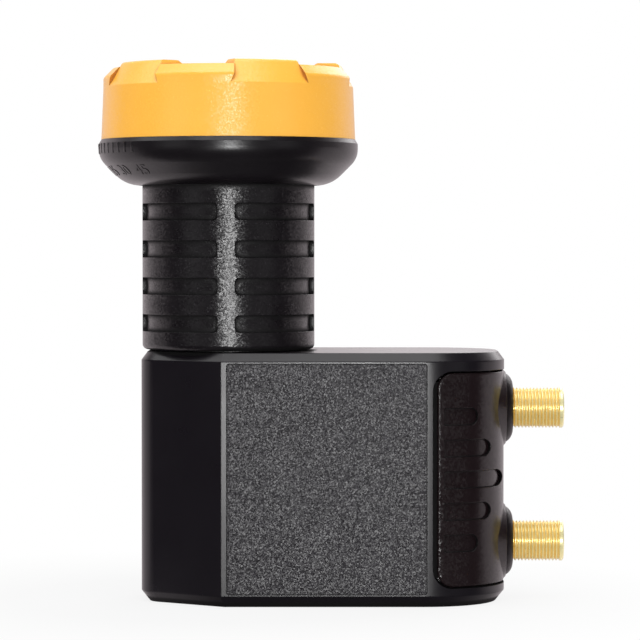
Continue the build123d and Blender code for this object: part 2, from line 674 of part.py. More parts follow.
with BuildPart() as chassis:
    with BuildSketch(Plane.XZ):
        with BuildLine():
            Polyline(
                (0, SHELL_FLOOR),
                (FOOT_RADIUS, SHELL_FLOOR),
                (FOOT_RADIUS, GUIDE_END - GUIDE_PLUG),
                (GUIDE_RADIUS, GUIDE_END - GUIDE_PLUG),
                (GUIDE_RADIUS, BODY_HEIGHT - SHOULDER_DROP),
                (SHOULDER_RADIUS, BODY_HEIGHT - SHOULDER_DROP),
                (SHOULDER_RADIUS, NECK_BOTTOM),
                (GUIDE_RADIUS, NECK_BOTTOM),
                (GUIDE_RADIUS, GUIDE_TOP),
                (0, GUIDE_TOP),
                close=True,
            )
        make_face()
    revolve(axis=Axis.Z)
    # Anchor bar across the housing, under its top wall
    with BuildSketch(Plane.XY.offset(BODY_HEIGHT - SHELL_FLOOR - ANCHOR_HEIGHT)):
        with Locations((ANCHOR_LENGTH / 2, 0)):
            Rectangle(ANCHOR_LENGTH, BODY_DEPTH - 2 * SHELL_WALL)
    extrude(amount=ANCHOR_HEIGHT)
    # Circuit tray, open to the rear
    with BuildSketch(Plane.XZ.offset(TRAY_FRONT)):
        with Locations((TRAY_END / 2, MID_HEIGHT)):
            Rectangle(TRAY_END, TRAY_HEIGHT)
    extrude(amount=-TRAY_DEPTH)
    with BuildSketch(Plane.XZ.offset(TRAY_FRONT - TRAY_FLOOR)):
        with Locations((BOARD_CENTRE, MID_HEIGHT)):
            Rectangle(TRAY_INNER_END - TRAY_START, TRAY_HEIGHT - 2 * TRAY_WALL)
    extrude(amount=-TRAY_DEPTH, mode=Mode.SUBTRACT)
    with BuildSketch(Plane.XZ.offset(TRAY_FRONT)):
        with Locations(*LID_POINTS):
            Circle(LID_BOSS)
    extrude(amount=-TRAY_DEPTH)
    with BuildSketch(Plane.XZ.offset(-TRAY_BACK)):
        with Locations(*LID_POINTS):
            Circle(LID_SCREW)
    extrude(amount=LID_SCREW_DEPTH, mode=Mode.SUBTRACT)
    # Waveguide bore, probe holes and seats of the connectors
    with BuildSketch(Plane.XY.offset(GUIDE_END)):
        Circle(GUIDE_BORE)
    extrude(amount=GUIDE_TOP - GUIDE_END, mode=Mode.SUBTRACT)
    for level in PROBE_LEVELS:
        with BuildSketch(port_plane(level, 0)):
            Circle(BUSH_RADIUS)
        extrude(amount=TRAY_START, mode=Mode.SUBTRACT)
    with BuildSketch(port_plane(MID_HEIGHT, -GUIDE_BORE - POST_DEPTH)):
        Circle(POST_RADIUS)
    extrude(amount=2 * (GUIDE_BORE + POST_DEPTH), mode=Mode.SUBTRACT)
    for level in PORT_LEVELS:
        with BuildSketch(port_plane(level, TRAY_INNER_END)):
            Circle(SPIGOT_RADIUS)
        extrude(amount=TRAY_WALL, mode=Mode.SUBTRACT)

with BuildPart() as isolation_post:
    with BuildSketch(port_plane(MID_HEIGHT, -GUIDE_BORE - POST_DEPTH)):
        Circle(POST_RADIUS)
    extrude(amount=2 * (GUIDE_BORE + POST_DEPTH))


def probe_bush(level: float) -> Part:
    """Insulating bush of a probe, from the waveguide wall to the tray."""
    with BuildPart() as bush:
        with BuildSketch(port_plane(level, GUIDE_BORE)):
            Circle(BUSH_RADIUS)
            Circle(PIN_RADIUS, mode=Mode.SUBTRACT)
        extrude(amount=TRAY_START - GUIDE_BORE)
    return bush.part


with BuildPart() as probe_bush_lower:
    add(probe_bush(PROBE_LEVELS[0]))

with BuildPart() as probe_bush_upper:
    add(probe_bush(PROBE_LEVELS[1]))

with BuildPart() as horizontal_probe:
    with BuildSketch(port_plane(PROBE_LEVELS[1], GUIDE_BORE - PROBE_REACH)):
        Circle(PIN_RADIUS)
    extrude(amount=TRAY_START + PIN_TAIL - GUIDE_BORE + PROBE_REACH)

with BuildPart() as vertical_probe:
    with BuildLine(Plane.XY.offset(PROBE_LEVELS[0])) as route:
        FilletPolyline((TRAY_START + PIN_TAIL, 0), (0, 0), (0, PROBE_REACH), radius=PROBE_BEND)
    with BuildSketch(port_plane(PROBE_LEVELS[0], TRAY_START + PIN_TAIL)):
        Circle(PIN_RADIUS)
    sweep(path=route.wire())

with BuildPart() as rf_board:
    with BuildSketch(Plane.XZ.offset(TRAY_FRONT - TRAY_FLOOR)):
        with Locations((BOARD_CENTRE, MID_HEIGHT)):
            Rectangle(BOARD_LENGTH, BOARD_HEIGHT)
        with Locations(*LID_POINTS):
            Circle(LID_BOSS + BOARD_CLEAR, mode=Mode.SUBTRACT)
    extrude(amount=-BOARD_THICK)


def board_parts(points: list[tuple[float, float]], across: float, up: float, height: float) -> Part:
    """Block-shaped components that stand on the board at offsets from its centre."""
    with BuildPart() as blocks:
        with BuildSketch(Plane.XZ.offset(-BOARD_FACE)):
            with Locations((BOARD_CENTRE, MID_HEIGHT)):
                with Locations(*points):
                    Rectangle(across, up)
        extrude(amount=-height)
    return blocks.part


with BuildPart() as lna_transistors:
    columns = (-BOARD_LENGTH / 3, -BOARD_LENGTH / 5)
    rows = (-PROBE_SPREAD / 2, PROBE_SPREAD / 2)
    stages = [(column, row) for column in columns for row in rows]
    add(board_parts(stages, AMPLIFIER_LENGTH, AMPLIFIER_WIDTH, AMPLIFIER_HEIGHT))

with BuildPart() as converter_chips:
    halves = [(BOARD_LENGTH / 8, -BOARD_HEIGHT / 4), (BOARD_LENGTH / 8, BOARD_HEIGHT / 4)]
    add(board_parts(halves, CHIP_SIDE, CHIP_SIDE, CHIP_HEIGHT))

with BuildPart() as reference_crystal:
    add(board_parts([(BOARD_LENGTH / 8, 0)], CRYSTAL_LENGTH, CRYSTAL_WIDTH, CRYSTAL_HEIGHT))

with BuildPart() as voltage_regulators:
    halves = [(BOARD_LENGTH / 3, -BOARD_HEIGHT / 6), (BOARD_LENGTH / 3, BOARD_HEIGHT / 6)]
    add(board_parts(halves, REGULATOR_LENGTH, REGULATOR_WIDTH, REGULATOR_HEIGHT))

with BuildPart() as output_chokes:
    halves = [(BOARD_LENGTH / 4, -PORT_SPACING / 2), (BOARD_LENGTH / 4, PORT_SPACING / 2)]
    add(board_parts(halves, CHOKE_LENGTH, CHOKE_WIDTH, CHOKE_HEIGHT))

with BuildPart() as shield_cover:
    lid_left = TRAY_START - LID_OVERLAP
    lid_right = TRAY_END - LID_OVERLAP
    with BuildSketch(Plane.XZ.offset(-TRAY_BACK)):
        with Locations(((lid_left + lid_right) / 2, MID_HEIGHT)):
            Rectangle(lid_right - lid_left, TRAY_HEIGHT - 2 * LID_OVERLAP)
    extrude(amount=-LID_THICK)
    # Wall between the two halves of the circuit
    with BuildSketch(Plane.XZ.offset(-TRAY_BACK)):
        with Locations((BOARD_CENTRE, MID_HEIGHT)):
            Rectangle(LID_RIB, TRAY_HEIGHT - 2 * (LID_INSET + LID_BOSS))
    extrude(amount=TRAY_BACK - BOARD_FACE - BOARD_CLEAR)
    with BuildSketch(Plane.XZ.offset(-TRAY_BACK)):
        with Locations(*LID_POINTS):
            Circle(LID_SCREW)
    extrude(amount=-LID_THICK, mode=Mode.SUBTRACT)
    with BuildSketch(Plane.XZ.offset(-TRAY_BACK - LID_THICK)):
        with Locations(*LID_POINTS):
            Circle(LID_HEAD_RADIUS)
    extrude(amount=LID_HEAD_HEIGHT, mode=Mode.SUBTRACT)

with BuildPart() as shield_screws:
    with BuildSketch(Plane.XZ.offset(-TRAY_BACK - LID_THICK)):
        with Locations(*LID_POINTS):
            Circle(LID_HEAD_RADIUS)
    extrude(amount=LID_HEAD_HEIGHT)
    with BuildSketch(Plane.XZ.offset(LID_HEAD_HEIGHT - TRAY_BACK - LID_THICK)):
        with Locations(*LID_POINTS):
            Circle(LID_SCREW)
    extrude(amount=LID_THICK - LID_HEAD_HEIGHT + LID_SCREW_DEPTH)


CONNECTOR_POINTS = [
    (TRAY_INNER_END, PORT_BORE),
    (TRAY_INNER_END, SPIGOT_RADIUS),
    (TRAY_END, SPIGOT_RADIUS),
    (TRAY_END, SHANK_RADIUS),
    (SEAL_FACE, SHANK_RADIUS),
    (SEAL_FACE, THREAD_RADIUS),
    (PORT_TIP - PORT_CHAMFER, THREAD_RADIUS),
    (PORT_TIP, THREAD_RADIUS - PORT_CHAMFER),
    (PORT_TIP, PORT_BORE),
]
INSULATOR_POINTS = [
    (TRAY_INNER_END, PIN_RADIUS),
    (TRAY_INNER_END, PORT_BORE),
    (PORT_TIP - PORT_RECESS, PORT_BORE),
    (PORT_TIP - PORT_RECESS, ENTRY_RADIUS),
    (PORT_TIP - PORT_RECESS - CONTACT_RECESS, ENTRY_RADIUS),
    (PORT_TIP - PORT_RECESS - CONTACT_RECESS, PIN_RADIUS),
]
CONTACT_POINTS = [
    (TRAY_INNER_END - PIN_TAIL, 0),
    (TRAY_INNER_END - PIN_TAIL, PIN_RADIUS),
    (PORT_TIP - PORT_RECESS - CONTACT_RECESS, PIN_RADIUS),
    (PORT_TIP - PORT_RECESS - CONTACT_RECESS, 0),
]


def connector_seal(level: float) -> Part:
    """Domed rubber collar between the nose and the thread of a connector."""
    middle = (SHANK_RADIUS + SEAL_RADIUS) / 2
    with BuildPart() as seal:
        with BuildSketch(Plane(origin=(0, 0, level), x_dir=(1, 0, 0), z_dir=(0, -1, 0))):
            with BuildLine():
                base = Polyline(
                    (SEAL_FACE, SHANK_RADIUS),
                    (NOSE_END, SHANK_RADIUS),
                    (NOSE_END, SEAL_RADIUS),
                    (SEAL_FACE - SEAL_DOME, SEAL_RADIUS),
                )
                ThreePointArc(base @ 1, (SEAL_FACE - SEAL_DOME / 4, middle + SEAL_DOME / 4), base @ 0)
            make_face()
        revolve(axis=Axis((0, 0, level), (1, 0, 0)))
    return seal.part


with BuildPart() as f_connector_lower:
    add(port_profile(PORT_LEVELS[0], CONNECTOR_POINTS))

with BuildPart() as f_connector_upper:
    add(port_profile(PORT_LEVELS[1], CONNECTOR_POINTS))

with BuildPart() as f_insulator_lower:
    add(port_profile(PORT_LEVELS[0], INSULATOR_POINTS))

with BuildPart() as f_insulator_upper:
    add(port_profile(PORT_LEVELS[1], INSULATOR_POINTS))

with BuildPart() as f_contact_lower:
    add(port_profile(PORT_LEVELS[0], CONTACT_POINTS))

with BuildPart() as f_contact_upper:
    add(port_profile(PORT_LEVELS[1], CONTACT_POINTS))

with BuildPart() as connector_seal_lower:
    add(connector_seal(PORT_LEVELS[0]))

with BuildPart() as connector_seal_upper:
    add(connector_seal(PORT_LEVELS[1]))

# One file for each piece
os.makedirs("parts", exist_ok=True)
pieces = {
    "feed_cap": feed_cap,
    "cap_seal": cap_seal,
    "neck_collar": neck_collar,
    "feed_horn": feed_horn,
    "chassis": chassis,
    "front_shell": front_shell,
    "rear_shell": rear_shell,
    "shell_screws": shell_screws,
    "weather_cover": weather_cover,
    "shield_cover": shield_cover,
    "shield_screws": shield_screws,
    "rf_board": rf_board,
    "lna_transistors": lna_transistors,
    "converter_chips": converter_chips,
    "reference_crystal": reference_crystal,
    "voltage_regulators": voltage_regulators,
    "output_chokes": output_chokes,
    "horizontal_probe": horizontal_probe,
    "vertical_probe": vertical_probe,
    "probe_bush_upper": probe_bush_upper,
    "probe_bush_lower": probe_bush_lower,
    "isolation_post": isolation_post,
    "f_connector_upper": f_connector_upper,
    "f_connector_lower": f_connector_lower,
    "f_insulator_upper": f_insulator_upper,
    "f_insulator_lower": f_insulator_lower,
    "f_contact_upper": f_contact_upper,
    "f_contact_lower": f_contact_lower,
    "connector_seal_upper": connector_seal_upper,
    "connector_seal_lower": connector_seal_lower,
}
for piece_name, piece in pieces.items():
    piece.part.label = piece_name
    export_step(piece.part, f"parts/{piece_name}.step")
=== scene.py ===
"""Looks of the satellite feed head: finishes, turned connector threads, the skew scale and the studio.

Lengths are in metres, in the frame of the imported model: +Z up along the neck, +X toward the connectors
and -Y toward the broad front face.
"""

import json
import logging
import math
from collections.abc import Callable
from dataclasses import dataclass, field, replace
from enum import Enum

import bmesh
import bpy
from mathutils import Matrix, Vector


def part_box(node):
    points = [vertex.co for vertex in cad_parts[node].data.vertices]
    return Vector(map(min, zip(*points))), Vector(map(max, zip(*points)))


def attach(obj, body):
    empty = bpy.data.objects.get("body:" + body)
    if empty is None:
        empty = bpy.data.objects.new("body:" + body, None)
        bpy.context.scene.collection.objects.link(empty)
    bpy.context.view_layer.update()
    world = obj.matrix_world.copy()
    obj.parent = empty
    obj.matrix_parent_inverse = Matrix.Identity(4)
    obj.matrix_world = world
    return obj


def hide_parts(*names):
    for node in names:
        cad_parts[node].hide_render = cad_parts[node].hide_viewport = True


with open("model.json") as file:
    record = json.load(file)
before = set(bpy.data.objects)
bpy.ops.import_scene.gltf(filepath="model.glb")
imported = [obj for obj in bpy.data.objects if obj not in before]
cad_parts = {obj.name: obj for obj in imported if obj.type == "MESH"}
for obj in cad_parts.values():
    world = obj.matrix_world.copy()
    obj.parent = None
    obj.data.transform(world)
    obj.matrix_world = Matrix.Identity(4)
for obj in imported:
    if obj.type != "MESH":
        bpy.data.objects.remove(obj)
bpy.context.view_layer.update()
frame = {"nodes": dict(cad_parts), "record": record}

LOG = logging.getLogger("feed_head")
MM = 0.001
FULL_TURN = 2 * math.pi
WELD_DISTANCE = 0.002 * MM
TRIM_DISTANCE = WELD_DISTANCE / 10
ON_PLANE = 0.01 * MM
FACING = 0.9
NOISE_RANGE = (0.3, 0.7)
BEVEL_SAMPLES = 4

Colour = tuple[float, float, float]

NECK_CLAMP = next(mount for mount in frame["record"]["mounts"] if mount["name"] == "neck_clamp")
NECK_TOP = NECK_CLAMP["pos_m"][2] + NECK_CLAMP["dims"]["length_mm"] * MM / 2
COLLAR_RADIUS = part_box("neck_collar")[1].x


class Element(Enum):
    """Kind of mesh element that a pick selects."""

    VERT = "verts"
    EDGE = "edges"
    FACE = "faces"


class Body(Enum):
    """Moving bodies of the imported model."""

    HOUSING = "housing"
    COVER = "weather_cover"


def take(piece: bpy.types.Object) -> None:
    """Make one piece the only selected and the active one.

    Args:
        piece: The piece to work on.
    """
    bpy.ops.object.select_all(action="DESELECT")
    piece.select_set(True)
    bpy.context.view_layer.objects.active = piece


def begin_edit(piece: bpy.types.Object) -> None:
    """Open a piece in edit mode with nothing selected.

    Args:
        piece: The piece to open.
    """
    take(piece)
    bpy.ops.object.mode_set(mode="EDIT")
    bpy.ops.mesh.select_all(action="DESELECT")


def end_edit() -> None:
    """Go back to object mode."""
    bpy.ops.object.mode_set(mode="OBJECT")


def pick(piece: bpy.types.Object, kind: Element, test: Callable[[object], bool]) -> None:
    """Select in edit mode the elements that pass a test, and nothing else.

    Args:
        piece: The piece that is open in edit mode.
        kind: Kind of element to select.
        test: Called with each element; true selects it.
    """
    bpy.ops.mesh.select_mode(type=kind.name)
    bpy.ops.mesh.select_all(action="DESELECT")
    mesh = bmesh.from_edit_mesh(piece.data)
    for element in getattr(mesh, kind.value):
        if test(element):
            element.select_set(True)
    mesh.select_flush_mode()
    bmesh.update_edit_mesh(piece.data)


def apply_modifier(piece: bpy.types.Object, kind: str, **settings: object) -> None:
    """Add a modifier to a piece and apply it.

    Args:
        piece: The piece to change.
        kind: Blender's name of the modifier type.
        settings: Values of the modifier's properties.
    """
    take(piece)
    modifier = piece.modifiers.new(kind.lower(), kind)
    for name, value in settings.items():
        setattr(modifier, name, value)
    bpy.ops.object.modifier_apply(modifier=modifier.name)


def settle(piece: bpy.types.Object) -> None:
    """Move a piece's place, turn and scale into its mesh.

    Args:
        piece: The piece to settle at the origin.
    """
    take(piece)
    bpy.ops.object.transform_apply(location=True, rotation=True, scale=True)


def close_up(piece: bpy.types.Object, smooth_angle: float) -> None:
    """Merge doubled points, turn the faces outward and shade a piece by angle.

    Args:
        piece: The piece to finish.
        smooth_angle: Edges sharper than this many degrees stay crisp.
    """
    begin_edit(piece)
    bpy.ops.mesh.select_all(action="SELECT")
    bpy.ops.mesh.remove_doubles(threshold=WELD_DISTANCE)
    bpy.ops.mesh.normals_make_consistent(inside=False)
    end_edit()
    bpy.ops.object.shade_smooth_by_angle(angle=math.radians(smooth_angle))


def join_all(pieces: list[bpy.types.Object], name: str) -> bpy.types.Object:
    """Join pieces into one.

    Args:
        pieces: The pieces to join, each with its place in its mesh.
        name: Name of the joined piece.

    Returns:
        The joined piece.
    """
    take(pieces[0])
    for piece in pieces[1:]:
        piece.select_set(True)
    bpy.ops.object.join()
    pieces[0].name = name
    return pieces[0]


def copy_of(piece: bpy.types.Object, place: Matrix) -> bpy.types.Object:
    """Copy a piece with its own mesh, set at a place.

    Args:
        piece: The piece to copy.
        place: Where the copy's mesh goes.

    Returns:
        The copy.
    """
    twin = piece.copy()
    twin.data = piece.data.copy()
    twin.data.transform(place)
    bpy.context.scene.collection.objects.link(twin)
    return twin


def hang(name: str, data: bpy.types.ID, place: Vector, target: Vector) -> bpy.types.Object:
    """Put a lamp or a camera into the scene, looking at a point.

    Args:
        name: Name of the object.
        data: The lamp's or the camera's own data.
        place: Where it hangs.
        target: The point it looks at.

    Returns:
        The object.
    """
    item = bpy.data.objects.new(name, data)
    item.location = place
    item.rotation_euler = (target - place).to_track_quat("-Z", "Y").to_euler()
    bpy.context.scene.collection.objects.link(item)
    return item


class Wiring:
    """Adds nodes to a tree and joins their sockets."""

    def __init__(self, tree: bpy.types.NodeTree) -> None:
        """Start with a tree that is already empty."""
        self.tree = tree

    def add(self, kind: str, settings: dict[str, object] | None = None, **inputs: object) -> bpy.types.Node:
        """Add a node, set its options, and set or join its inputs.

        Args:
            kind: Blender's class name of the node, without the ShaderNode prefix.
            settings: Options of the node.
            inputs: Names or identifiers of sockets, with a double underscore for a space, and their
                values or source sockets.

        Returns:
            The new node.
        """
        node = self.tree.nodes.new("ShaderNode" + kind)
        for name, value in (settings or {}).items():
            setattr(node, name, value)
        for name, value in inputs.items():
            self.feed(node, name.replace("__", " "), value)
        return node

    def feed(self, node: bpy.types.Node, name: str, value: object) -> None:
        """Set an input of a node, or join it to a source socket.

        Args:
            node: The node that owns the input.
            name: Name or identifier of the input.
            value: A plain value or an output socket.
        """
        socket = next(s for s in node.inputs if name in (s.identifier, s.name) and s.enabled)
        if isinstance(value, bpy.types.NodeSocket):
            self.tree.links.new(value, socket)
        else:
            socket.default_value = value

    def mix(self, amount: object, first: object, second: object) -> bpy.types.NodeSocket:
        """Mix two colours.

        Args:
            amount: Share of the second colour, a value or a socket.
            first: First colour or socket.
            second: Second colour or socket.

        Returns:
            The socket of the mixed colour.
        """
        node = self.add("Mix", {"data_type": "RGBA"}, Factor_Float=amount, A_Color=first, B_Color=second)
        return next(s for s in node.outputs if s.identifier == "Result_Color")

    def blend(self, amount: object, first: object, second: object) -> bpy.types.NodeSocket:
        """Mix two values.

        Args:
            amount: Share of the second value, a value or a socket.
            first: First value or socket.
            second: Second value or socket.

        Returns:
            The socket of the mixed value.
        """
        node = self.add("Mix", {"data_type": "FLOAT"}, Factor_Float=amount, A_Float=first, B_Float=second)
        return next(s for s in node.outputs if s.identifier == "Result_Float")

    def spread(
        self, value: object, low: float, high: float, start: float = 0.0, end: float = 1.0
    ) -> bpy.types.NodeSocket:
        """Map a value from one range to another, held at its ends.

        Args:
            value: Value or socket to map.
            low: Result at the start of the range.
            high: Result at the end of the range.
            start: Start of the incoming range.
            end: End of the incoming range.

        Returns:
            The socket of the mapped value.
        """
        node = self.add(
            "MapRange", {"clamp": True}, Value=value, From__Min=start, From__Max=end, To__Min=low,
            To__Max=high,
        )
        return node.outputs["Result"]

    def math(self, operation: str, first: object, second: object | None = None) -> bpy.types.NodeSocket:
        """Work out a value from one or two others.

        Args:
            operation: Blender's name of the operation.
            first: First value or socket.
            second: Second value or socket, where the operation takes one.

        Returns:
            The socket of the result.
        """
        node = self.add("Math", {"operation": operation}, Value=first)
        if second is not None:
            self.feed(node, "Value_001", second)
        return node.outputs["Value"]


def fresh_wiring(owner: bpy.types.Material | bpy.types.World) -> Wiring:
    """Empty the nodes of a material or a world.

    Args:
        owner: The material or the world.

    Returns:
        The wiring of its empty tree.
    """
    owner.use_nodes = True
    owner.node_tree.nodes.clear()
    return Wiring(owner.node_tree)


def rgba(colour: Colour) -> tuple[float, float, float, float]:
    """Give a colour full opacity."""
    return (*colour, 1.0)


@dataclass(frozen=True)
class EffectGroup:
    """A surface effect that several finishes share, kept as one node group."""

    name: str
    inputs: tuple[tuple[str, float], ...]
    outputs: tuple[tuple[str, str], ...]

    def open(self) -> tuple[Wiring, bpy.types.Node, bpy.types.Node]:
        """Make the group's empty tree with its sockets.

        Returns:
            The wiring of the tree, its input node and its output node.
        """
        tree = bpy.data.node_groups.new(self.name, "ShaderNodeTree")
        for name, value in self.inputs:
            socket = tree.interface.new_socket(name=name, in_out="INPUT", socket_type="NodeSocketFloat")
            socket.default_value = value
        for name, kind in self.outputs:
            tree.interface.new_socket(name=name, in_out="OUTPUT", socket_type=f"NodeSocket{kind}")
        return Wiring(tree), tree.nodes.new("NodeGroupInput"), tree.nodes.new("NodeGroupOutput")

    def place(self, wiring: Wiring, **values: float) -> bpy.types.Node:
        """Put the group into a material.

        Args:
            wiring: The material's wiring.
            values: The group's inputs in this material.

        Returns:
            The group's node.
        """
        node = wiring.add("Group", {"node_tree": bpy.data.node_groups[self.name]})
        for name, value in values.items():
            node.inputs[name].default_value = value
        return node


@dataclass(frozen=True)
class MouldGrain(EffectGroup):
    """Spark-eroded grain of a moulding: height, soft tone, bright flecks and facets that tilt every way."""

    name: str = "mould_grain"
    inputs: tuple[tuple[str, float], ...] = (("Scale", 3000.0), ("Flecks", 0.05))
    outputs: tuple[tuple[str, str], ...] = (
        ("Height", "Float"), ("Tone", "Float"), ("Fleck", "Float"), ("Tilt", "Vector"),
    )
    broad_share: float = 0.02
    broad_detail: float = 3.0
    broad_roughness: float = 0.55
    fleck_edge: tuple[float, float] = (0.2, 0.7)
    upright: tuple[float, float, float] = (0.5, 0.5, 0.5)

    def build(self) -> None:
        """Wire the grain from fine noise, broad noise and scattered cells."""
        wiring, given, result = self.open()
        place = wiring.add("TexCoord").outputs["Object"]
        scale = given.outputs["Scale"]
        fine = wiring.add("TexNoise", Vector=place, Scale=scale, Detail=0.0)
        broad = wiring.add(
            "TexNoise", Vector=place, Scale=wiring.math("MULTIPLY", scale, self.broad_share),
            Detail=self.broad_detail, Roughness=self.broad_roughness,
        )
        cells = wiring.add("TexVoronoi", Vector=place, Scale=scale)
        draw = wiring.add("SeparateColor", Color=cells.outputs["Color"]).outputs["Red"]
        rest = wiring.math("SUBTRACT", 1.0, given.outputs["Flecks"])
        level = wiring.math("DIVIDE", wiring.math("SUBTRACT", draw, rest), given.outputs["Flecks"])
        chosen = wiring.math("MAXIMUM", level, 0.0)
        core = wiring.spread(cells.outputs["Distance"], 1.0, 0.0, *self.fleck_edge)
        tilt = wiring.add(
            "VectorMath", {"operation": "SUBTRACT"}, Vector=cells.outputs["Color"], Vector_001=self.upright
        )
        wiring.tree.links.new(tilt.outputs[0], result.inputs["Tilt"])
        wiring.tree.links.new(fine.outputs[0], result.inputs["Height"])
        wiring.tree.links.new(broad.outputs[0], result.inputs["Tone"])
        wiring.tree.links.new(wiring.math("MULTIPLY", chosen, core), result.inputs["Fleck"])


@dataclass(frozen=True)
class RubMarks(EffectGroup):
    """Fine marks of handling and machining, drawn out along one axis."""

    name: str = "rub_marks"
    inputs: tuple[tuple[str, float], ...] = (("Scale", 900.0), ("Stretch", 0.05))
    outputs: tuple[tuple[str, str], ...] = (("Marks", "Float"), ("Patches", "Float"))
    mark_detail: float = 4.0
    patch_share: float = 0.08
    patch_detail: float = 2.0

    def build(self) -> None:
        """Wire the marks from stretched noise and the patches from broad noise."""
        wiring, given, result = self.open()
        place = wiring.add("TexCoord").outputs["Object"]
        squeeze = wiring.add("CombineXYZ", X=1.0, Y=1.0, Z=given.outputs["Stretch"])
        drawn = wiring.add(
            "VectorMath", {"operation": "MULTIPLY"}, Vector=place, Vector_001=squeeze.outputs[0]
        ).outputs[0]
        scale = given.outputs["Scale"]
        lines = wiring.add("TexNoise", Vector=drawn, Scale=scale, Detail=self.mark_detail)
        patch_scale = wiring.math("MULTIPLY", scale, self.patch_share)
        patches = wiring.add("TexNoise", Vector=place, Scale=patch_scale, Detail=self.patch_detail)
        wiring.tree.links.new(lines.outputs[0], result.inputs["Marks"])
        wiring.tree.links.new(patches.outputs[0], result.inputs["Patches"])


@dataclass(frozen=True)
class Crevice(EffectGroup):
    """Where shade is painted: how open a point lies, 1 on an open face and 0 far down in a groove or a gap.
    """

    name: str = "crevice"
    inputs: tuple[tuple[str, float], ...] = (("Reach", 0.002),)
    outputs: tuple[tuple[str, str], ...] = (("Open", "Float"),)
    samples: int = 8
    open_range: tuple[float, float] = (0.55, 0.92)

    def build(self) -> None:
        """Wire the share from what lies within reach."""
        wiring, given, result = self.open()
        near = wiring.add("AmbientOcclusion", {"samples": self.samples}, Distance=given.outputs["Reach"])
        share = wiring.spread(near.outputs["AO"], 0.0, 1.0, *self.open_range)
        wiring.tree.links.new(share, result.inputs["Open"])


MOULD_GRAIN = MouldGrain()
RUB_MARKS = RubMarks()
CREVICE_SHADE = Crevice()


@dataclass(frozen=True)
class Finish:
    """What every finish has: a name and a base colour."""

    name: str
    colour: Colour

    def open(self) -> tuple[Wiring, bpy.types.Node]:
        """Make the empty material with its surface shader.

        Returns:
            The material's wiring and its surface shader.
        """
        wiring = fresh_wiring(bpy.data.materials.new(self.name))
        shader = wiring.add("BsdfPrincipled")
        wiring.add("OutputMaterial", Surface=shader.outputs["BSDF"])
        return wiring, shader

    def material(self) -> bpy.types.Material:
        """Give the finish's material, wired on first use."""
        return bpy.data.materials.get(self.name) or self.wire()

    def wire(self) -> bpy.types.Material:
        """Wire the finish's nodes; each kind of finish has its own way."""
        raise NotImplementedError


@dataclass(frozen=True)
class Zone:
    """Box on a piece, alike on both sides of the XZ plane, whose texture and polish differ from the rest."""

    low: tuple[float, float, float]
    high: tuple[float, float, float]
    texture: tuple[float, float]
    roughness: float
    soft: float = 0.05 * MM

    def mask(self, wiring: Wiring) -> bpy.types.NodeSocket:
        """Wire the share of the zone at each point.

        Args:
            wiring: The material's wiring.

        Returns:
            The socket that is 1 inside the zone and 0 outside it.
        """
        place = wiring.add("TexCoord").outputs["Object"]
        axes = wiring.add("SeparateXYZ", Vector=place).outputs
        depth = wiring.math("ABSOLUTE", axes["Y"])
        inside: object = 1.0
        for value, low, high in zip((axes["X"], depth, axes["Z"]), self.low, self.high):
            above = wiring.spread(value, 0.0, 1.0, low - self.soft, low + self.soft)
            below = wiring.spread(value, 1.0, 0.0, high - self.soft, high + self.soft)
            inside = wiring.math("MULTIPLY", inside, wiring.math("MULTIPLY", above, below))
        return inside


@dataclass(frozen=True)
class Moulding(Finish):
    """Injection-moulded plastic or rubber with a spark-eroded grain and painted shade in its grooves and
    gaps.
    """

    light: Colour = (0.1, 0.1, 0.1)
    # Painted shade: the colour that grooves and gaps are darkened to.
    deep: Colour = (0.002, 0.0015, 0.002)
    roughness: tuple[float, float] = (0.4, 0.5)
    deep_roughness: float = 0.9
    gloss: float = 0.5
    grain_scale: float = 3000.0
    grain_depth: float = 0.01 * MM
    facets: float = 0.1
    flecks: float = 0.04
    mottle: float = 0.1
    mottle_range: tuple[float, float] = (0.35, 0.65)
    edge_round: float = 0.2 * MM
    # Reach of the painted shade in grooves and gaps.
    crevice: float = 1.5 * MM
    zone: Zone | None = None

    def wire(self) -> bpy.types.Material:
        """Wire colour with painted shade in grooves and gaps, roughness and bump from the shared grain.

        Returns:
            The material.
        """
        wiring, shader = self.open()
        grain = MOULD_GRAIN.place(wiring, Scale=self.grain_scale, Flecks=self.flecks)
        rough = wiring.spread(grain.outputs["Tone"], *self.roughness, *NOISE_RANGE)
        height, fleck, facets = grain.outputs["Height"], grain.outputs["Fleck"], self.facets
        if self.zone:
            mask = self.zone.mask(wiring)
            texture = wiring.spread(mask, *self.zone.texture)
            height = wiring.math("MULTIPLY", height, texture)
            fleck = wiring.math("MULTIPLY", fleck, texture)
            facets = wiring.math("MULTIPLY", facets, texture)
            rough = wiring.blend(mask, rough, self.zone.roughness)
        mottle = wiring.spread(grain.outputs["Tone"], 0.0, self.mottle, *self.mottle_range)
        ground = wiring.mix(mottle, rgba(self.colour), rgba(self.light))
        # Painted shade: within the crevice reach the base colour darkens toward the painted shade colour,
        # and the roughness rises.
        unshaded = CREVICE_SHADE.place(wiring, Reach=self.crevice).outputs["Open"]
        face = wiring.mix(fleck, ground, rgba(self.light))
        wiring.feed(shader, "Base Color", wiring.mix(unshaded, rgba(self.deep), face))
        wiring.feed(shader, "Roughness", wiring.blend(unshaded, self.deep_roughness, rough))
        shader.inputs["Specular IOR Level"].default_value = self.gloss
        edges = wiring.add("Bevel", {"samples": BEVEL_SAMPLES}, Radius=self.edge_round)
        bump = wiring.add("Bump", Distance=self.grain_depth, Height=height, Normal=edges.outputs["Normal"])
        tilt = wiring.add("VectorMath", {"operation": "SCALE"}, Vector=grain.outputs["Tilt"], Scale=facets)
        turned = wiring.add(
            "VectorMath", {"operation": "ADD"}, Vector=bump.outputs["Normal"], Vector_001=tilt.outputs[0]
        )
        facing = wiring.add("VectorMath", {"operation": "NORMALIZE"}, Vector=turned.outputs[0])
        wiring.feed(shader, "Normal", facing.outputs[0])
        return bpy.data.materials[self.name]


